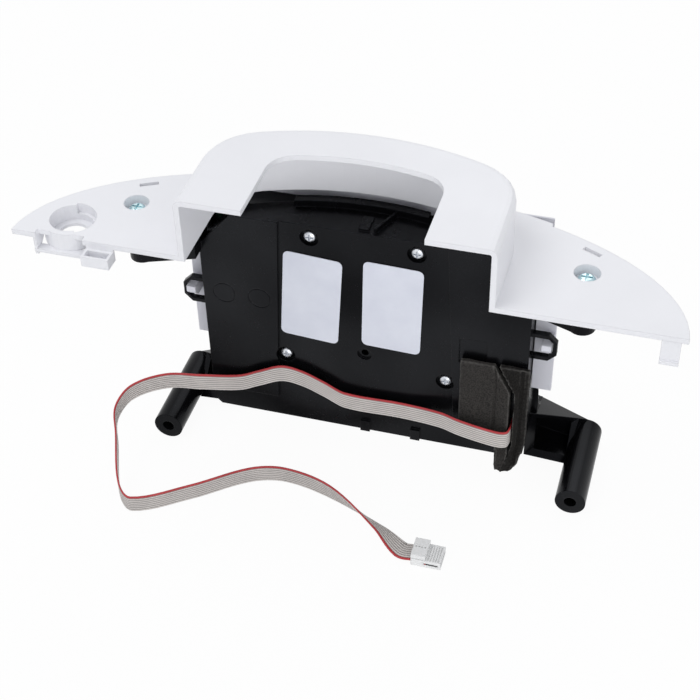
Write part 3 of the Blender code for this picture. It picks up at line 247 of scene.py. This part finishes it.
def black_plastic(name, gloss=0.25, shine=0.26):
    """Glossy black plastic with a fine grain, rubbed patches and a shine that comes and goes."""
    m = Nodes(name)
    tone = m.ramp(m.noise(22, 6, 0.7), (0.0018, 0.0018, 0.0022), (0.0044, 0.0044, 0.0052), 0.35, 0.75)
    m.feed(tone, "Base Color")
    m.feed(m.span(m.noise(13, 2, 0.4), 0.2 * shine, shine), "Specular IOR Level")
    m.fix("Specular Tint", (0.86, 0.90, 1.0, 1))
    m.feed(m.span(m.noise(60, 6, 0.65), gloss - 0.04, gloss + 0.06), "Roughness")
    m.bump(m.noise(2200, 2), 0.000008, 0.0005)
    return m.material


def zinc(name, low, high):
    """Bright zinc plate with turned marks."""
    m = Nodes(name)
    m.fix("Metallic", 0.9)
    m.feed(m.ramp(m.noise(300, 3), low, high, 0.3, 0.7), "Base Color")
    m.feed(m.span(m.noise(900, 2), 0.26, 0.42), "Roughness")
    m.bump(m.noise(1500, 2), 0.00002, 0.0003)
    return m.material


def foam_material(name, tone_and_painted_shade):
    """Open-cell foam: small dark cells in a warm black, paler along its sharp convex edges."""
    m = Nodes(name)
    cells = m.add("ShaderNodeTexVoronoi", Scale=1500.0)
    m.link(m.place(), cells.inputs["Vector"])
    # a factor under one darkens the whole sheet; on the right-hand sheet it is painted shade
    wall = [tone_and_painted_shade * c for c in (0.072, 0.067, 0.062)]
    pore = [tone_and_painted_shade * c for c in (0.030, 0.028, 0.027)]
    tone = m.ramp(cells.outputs["Distance"], wall, pore, 0.1, 0.8)
    edges = m.add("ShaderNodeNewGeometry").outputs["Pointiness"]
    paled = m.add("ShaderNodeMix", data_type="RGBA")
    m.link(m.ramp(edges, (0, 0, 0), (1, 1, 1), 0.515, 0.58), paled.inputs["Factor"])
    m.link(tone, paled.inputs[MIX_FIRST])
    paled.inputs[MIX_SECOND].default_value = (0.115, 0.11, 0.105, 1)
    m.feed(paled.outputs[MIX_RESULT], "Base Color")
    m.fix("Roughness", 0.95)
    m.fix("Specular IOR Level", 0.12)
    m.bump(cells.outputs["Distance"], 0.0003)
    return m.material


def label_material(name):
    """Blank printed film: cool pale grey with a slight sheen and a faint orange-peel surface."""
    m = Nodes(name)
    m.feed(m.ramp(m.noise(60, 4), (0.71, 0.73, 0.82), (0.78, 0.80, 0.88), 0.3, 0.7), "Base Color")
    m.feed(m.span(m.noise(200, 3), 0.40, 0.52), "Roughness")
    m.bump(m.noise(900, 2), 0.00003)
    return m.material


def cable_material(name, low, high):
    """Soft vinyl insulation with a little unevenness along its length."""
    m = Nodes(name)
    m.feed(m.ramp(m.noise(90, 4), low, high, 0.3, 0.7), "Base Color")
    m.feed(m.span(m.noise(300, 3), 0.38, 0.52), "Roughness")
    m.bump(m.noise(1800, 2), 0.00002)
    return m.material


def board_material(name):
    """Dark green solder resist with a mottled tone."""
    m = Nodes(name)
    m.feed(m.ramp(m.noise(500, 3), (0.003, 0.020, 0.010), (0.006, 0.032, 0.016), 0.4, 0.6), "Base Color")
    m.feed(m.span(m.noise(150, 3), 0.30, 0.42), "Roughness")
    m.bump(m.noise(1200, 2), 0.00002)
    return m.material


def window_material(name):
    """Clear moulded plastic with a faint grey-green cast."""
    m = Nodes(name)
    m.feed(m.ramp(m.noise(20, 2), (0.60, 0.66, 0.68), (0.66, 0.71, 0.72), 0.4, 0.6), "Base Color")
    m.fix("Transmission Weight", 0.85)
    m.fix("IOR", 1.49)
    m.feed(m.span(m.noise(80, 3), 0.03, 0.08), "Roughness")
    return m.material


def smooth_places(places, steps):
    """A smooth curve through the given places, with the same number of steps between each two."""
    spots = [Vector(place) for place in places]
    marks = [0.0]
    for a, b in zip(spots, spots[1:]):
        marks.append(marks[-1] + (b.to_2d() - a.to_2d()).length)
    last = len(spots) - 1
    slopes = []
    for i in range(len(spots)):
        a = max(i - 1, 0)
        b = min(i + 1, last)
        slopes.append((spots[b] - spots[a]) / (marks[b] - marks[a]))
    curve = []
    for i in range(last):
        span = marks[i + 1] - marks[i]
        for step in range(steps):
            t = step / steps
            curve.append(
                spots[i] * (1 + 2 * t) * (1 - t) ** 2
                + slopes[i] * span * t * (1 - t) ** 2
                + spots[i + 1] * t * t * (3 - 2 * t)
                + slopes[i + 1] * span * t * t * (t - 1)
            )
    return curve + [spots[last]]


def ribbon_section():
    """The ribbon's ribbed outline, red edge first: each point's place across and through, and its wire."""
    pitch = RIBBON_WIDTH / CONDUCTORS
    half = RIBBON_WALL / 2
    top = []
    for wire in range(CONDUCTORS):
        start = RIBBON_WIDTH / 2 - wire * pitch
        top += [(start - pitch * share, half * rise, wire) for share, rise in WIRE_SHAPE]
    top.append((-RIBBON_WIDTH / 2, half * WIRE_GROOVE, CONDUCTORS - 1))
    under = [(across, -through, wire) for across, through, wire in reversed(top)]
    return top + under


def make_ribbon():
    """The ribbon along its route, with a red wire at one edge and grooves between the others darkened by
    painted shade.
    """
    curve = smooth_places(RIBBON_ROUTE, ROUTE_STEPS)
    section = ribbon_section()
    up = Vector((0, 0, 1))
    bm = bmesh.new()
    rings = []
    for i, place in enumerate(curve):
        ahead = curve[min(i + 1, len(curve) - 1)].to_2d() - curve[max(i - 1, 0)].to_2d()
        along = ahead.normalized().to_3d()
        turn = place.w * math.pi / 2
        middle = place.to_3d()
        across = math.cos(turn) * up + math.sin(turn) * along.cross(up)
        through = across.cross(along)
        rings.append([bm.verts.new(middle + across * a + through * t) for a, t, wire in section])
    count = len(section)
    # the third material paints shade into the grooves between wires
    grey_index, red_index, groove_shade_index = range(3)
    for a, b in zip(rings, rings[1:]):
        for i in range(count):
            j = (i + 1) % count
            face = bm.faces.new((a[i], a[j], b[j], b[i]))
            face.smooth = True
            if min(section[i][2], section[j][2]) == 0:
                face.material_index = red_index
            elif min(abs(section[i][1]), abs(section[j][1])) < RIBBON_WALL / 4:
                face.material_index = groove_shade_index
            else:
                face.material_index = grey_index
    bm.faces.new(rings[0])
    bm.faces.new(rings[-1])
    bmesh.ops.recalc_face_normals(bm, faces=bm.faces)
    ribbon = new_object("ribbon", bm)
    ribbon.data.materials.append(cable_material("ribbon_grey_vinyl", *GREY_VINYL))
    ribbon.data.materials.append(cable_material("ribbon_red_vinyl", *RED_VINYL))
    ribbon.data.materials.append(cable_material("ribbon_groove_painted_shade", *GROOVE_PAINTED_SHADE))
    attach(ribbon, "head")
    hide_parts("ribbon_cable")


def make_ribbon_end():
    """The cut end of the ribbon where it shows in the slot of the plug: a dark strip and the red wire."""
    lo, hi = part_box("ribbon_plug")
    left = lo[0] + CUT_START_SHARE * (hi[0] - lo[0])
    strip = (left + CUT_STRIP_START, CUT_STRIP_LENGTH)
    wire = (left, CUT_WIRE_LENGTH)
    bm = bmesh.new()
    for index, (start, length) in enumerate((strip, wire)):
        size = (length, CUT_DEPTH, CUT_HEIGHT)
        centre = (start + length / 2, lo[1] + CUT_DEPTH, lo[2] + CUT_RISE)
        made = bmesh.ops.create_cube(bm, size=1, matrix=Matrix.LocRotScale(centre, None, size))
        edges = list({e for v in made["verts"] for e in v.link_edges})
        rounded = bmesh.ops.bevel(
            bm, geom=edges, offset=CUT_ROUNDING, segments=2, profile=0.5, affect="EDGES"
        )["faces"]
        for face in {f for made_face in rounded for v in made_face.verts for f in v.link_faces}:
            face.material_index = index
            face.smooth = True
    piece = new_object("ribbon_end", bm)
    piece.data.materials.append(black_plastic("ribbon_end_dark", 0.4))
    piece.data.materials.append(cable_material("ribbon_end_red", *CUT_RED_VINYL))
    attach(piece, "head")


def make_foam(node, name, crease, tone_and_painted_shade, lean):
    """A foam sheet with soft, uneven edges, a pressed crease and a tail that leans on the other's."""
    bm = bmesh.new()
    bm.from_mesh(nodes[node].data)
    bmesh.ops.remove_doubles(bm, verts=bm.verts, dist=1e-6)
    bmesh.ops.dissolve_limit(bm, angle_limit=0.02, verts=bm.verts, edges=bm.edges)
    piece = new_object(name, bm)
    remesh = piece.modifiers.new("cells", "REMESH")
    remesh.mode = "VOXEL"
    remesh.voxel_size = FOAM_VOXEL
    evaluated = piece.evaluated_get(bpy.context.evaluated_depsgraph_get())
    softened = bpy.data.meshes.new_from_object(evaluated)
    piece.modifiers.clear()
    piece.data = softened
    bm = bmesh.new()
    bm.from_mesh(piece.data)
    for _ in range(FOAM_SMOOTHINGS):
        bmesh.ops.smooth_vert(
            bm, verts=bm.verts, factor=0.5, use_axis_x=True, use_axis_y=True, use_axis_z=True
        )
    for v in bm.verts:
        dent = sum(noise.noise(v.co * scale) * height for scale, height in FOAM_LUMPS) - FOAM_SHRINK
        if v.normal.y < -0.5:
            dent -= FOAM_CREASE_DEPTH * math.exp(-(((v.co.x - crease) / FOAM_CREASE_WIDTH) ** 2))
        v.co += v.normal * dent
        v.co.x += lean * min(1, max(0, (FOAM_TAIL_TOP - v.co.z) / FOAM_TAIL_CLOSE))
    for face in bm.faces:
        face.smooth = True
    bm.to_mesh(piece.data)
    bm.free()
    piece.data.materials.clear()
    piece.data.materials.append(foam_material(name + "_foam", tone_and_painted_shade))
    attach(piece, "head")
    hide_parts(node)


def make_arm_rib(name, side, material):
    """A moulded rib with a hollow-curved edge, from the front of the case down to the top of an arm."""
    rear, front = ARM_RIB_Y
    low, top = ARM_RIB_Z
    outline = [(front, low - ARM_RIB_FOOT), (rear, low + ARM_RIB_FOOT)]
    for step in range(ARM_RIB_STEPS + 1):
        turn = step / ARM_RIB_STEPS * math.pi / 2
        outline.append((front - (front - rear) * math.cos(turn), top - (top - low) * math.sin(turn)))
    bm = bmesh.new()
    ends = [[bm.verts.new((side * x, y, z)) for y, z in outline] for x in ARM_RIB_X]
    for end in ends:
        bm.faces.new(end)
    for i in range(len(outline)):
        bm.faces.new((ends[0][i - 1], ends[0][i], ends[1][i], ends[1][i - 1]))
    bmesh.ops.recalc_face_normals(bm, faces=bm.faces)
    sharp = [e for e in bm.edges if e.calc_face_angle() > 1]
    bmesh.ops.bevel(bm, geom=sharp, offset=ARM_RIB_ROUNDING, segments=2, profile=0.5, affect="EDGES")
    piece = new_object(name, bm)
    piece.data.materials.append(material)
    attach(piece, "head")


def backdrop_rays(tree):
    """One where the backdrop is seen directly, in a reflection or through glass, and nought elsewhere."""
    rays = tree.nodes.new("ShaderNodeLightPath")
    seen = rays.outputs["Is Camera Ray"]
    for kind in ("Is Glossy Ray", "Is Transmission Ray"):
        either = tree.nodes.new("ShaderNodeMath")
        either.operation = "MAXIMUM"
        tree.links.new(seen, either.inputs[0])
        tree.links.new(rays.outputs[kind], either.inputs[1])
        seen = either.outputs["Value"]
    return seen


def make_floor():
    """A pale floor that takes soft shadows, washed out to almost plain white where it is seen."""
    bm = bmesh.new()
    bmesh.ops.create_grid(bm, x_segments=1, y_segments=1, size=FLOOR_REACH)
    floor = new_object("floor", bm)
    floor.location = (0, 0, -FLOOR_DROP)
    m = Nodes("pale_floor")
    m.fix("Base Color", (0.94, 0.94, 0.94, 1))
    m.fix("Roughness", 0.9)
    m.fix("Specular IOR Level", 0.1)
    white = m.add("ShaderNodeEmission")
    mix = m.add("ShaderNodeMixShader")
    share = m.add("ShaderNodeMath", operation="MULTIPLY")
    share.inputs[1].default_value = FLOOR_WHITE_SHARE
    m.link(backdrop_rays(m.tree), share.inputs[0])
    m.link(share.outputs["Value"], mix.inputs["Fac"])
    m.link(m.shader.outputs["BSDF"], mix.inputs[1])
    m.link(white.outputs["Emission"], mix.inputs[2])
    m.link(mix.outputs["Shader"], m.tree.nodes["Material Output"].inputs["Surface"])
    floor.data.materials.append(m.material)


def add_lamp(name, place, size, power):
    data = bpy.data.lights.new(name, "AREA")
    data.shape = "DISK"
    data.size = size
    data.energy = power
    lamp = bpy.data.objects.new(name, data)
    lamp.location = place
    lamp.rotation_euler = (Vector(LAMP_TARGET) - Vector(place)).to_track_quat("-Z", "Y").to_euler()
    bpy.context.scene.collection.objects.link(lamp)


def make_studio():
    """Three soft lamps under a pale sky that looks plain white."""
    scene = bpy.context.scene
    scene.view_settings.view_transform = "Standard"
    world = bpy.data.worlds.new("studio")
    world.use_nodes = True
    scene.world = world
    tree = world.node_tree
    sky = tree.nodes["Background"]
    sky.inputs["Color"].default_value = SKY_COLOUR
    sky.inputs["Strength"].default_value = SKY_STRENGTH
    plain = tree.nodes.new("ShaderNodeBackground")
    plain.inputs["Color"].default_value = (1, 1, 1, 1)
    mix = tree.nodes.new("ShaderNodeMixShader")
    tree.links.new(backdrop_rays(tree), mix.inputs["Fac"])
    tree.links.new(sky.outputs["Background"], mix.inputs[1])
    tree.links.new(plain.outputs["Background"], mix.inputs[2])
    tree.links.new(mix.outputs["Shader"], tree.nodes["World Output"].inputs["Surface"])
    for lamp in LAMPS:
        add_lamp(*lamp)


def dress(names, material):
    """Gives the named CAD nodes a material."""
    for name in names:
        for place in nodes[name].material_slots:
            place.material = material


def dress_plastics():
    dress(["top_cover"], moulded_plastic("cover_white", (0.87, 0.87, 0.90), 0.36))
    # the fascia's white is darker and bluer than the cover's as painted shade
    dress(["front_fascia"], moulded_plastic("fascia_white_painted_shade", (0.74, 0.74, 0.80), 0.40))
    dress(["ribbon_plug", "plug_clip"], moulded_plastic("plug_white", (0.91, 0.91, 0.905), 0.34))
    dress(["display_module"], moulded_plastic("display_grey_green", (0.16, 0.20, 0.14), 0.22))
    keys = [f"key_{i}" for i in KEY_NUMBERS]
    dress(keys, moulded_plastic("key_grey", (0.40, 0.41, 0.44), 0.50))
    dress(["rear_housing"], black_plastic("housing_black"))
    dress(["cable_header"], black_plastic("connector_black", 0.35))
    dress([f"switch_{i}" for i in KEY_NUMBERS], black_plastic("switch_black"))


def dress_chassis():
    """The chassis and the ribs of its arms, in one black."""
    black = black_plastic("chassis_black", 0.22, 0.17)
    dress(["front_chassis"], black)
    make_arm_rib("arm_rib_left", -1, black)
    make_arm_rib("arm_rib_right", 1, black)


def dress_screws():
    """White zinc on the small screws and blue zinc on the two in the wings."""
    wing_screws = ["wing_screw_left", "wing_screw_right"]
    other_screws = [n for n in nodes if "_screw_" in n and n not in wing_screws]
    dress(other_screws, zinc("screw_zinc", (0.58, 0.61, 0.66), (0.80, 0.82, 0.86)))
    dress(wing_screws, zinc("screw_blue_zinc", (0.50, 0.68, 0.72), (0.70, 0.88, 0.92)))


make_camera()
make_ribbon()
make_ribbon_end()
make_studio()
make_floor()
make_foam("foam_left", "foam_pad_left", FOAM_LEFT_CREASE_X, 0.8, FOAM_TAIL_LEAN)
# the right-hand sheet is scaled to 0.33 as painted shade; the left keeps almost its own tone
make_foam("foam_right", "foam_pad_right", FOAM_RIGHT_CREASE_X, 0.33, -FOAM_TAIL_LEAN)
dress_plastics()
dress_chassis()
dress_screws()
dress(["label_left", "label_right"], label_material("label_film"))
dress(["main_board"], board_material("board_green"))
dress(["display_window"], window_material("window_clear"))
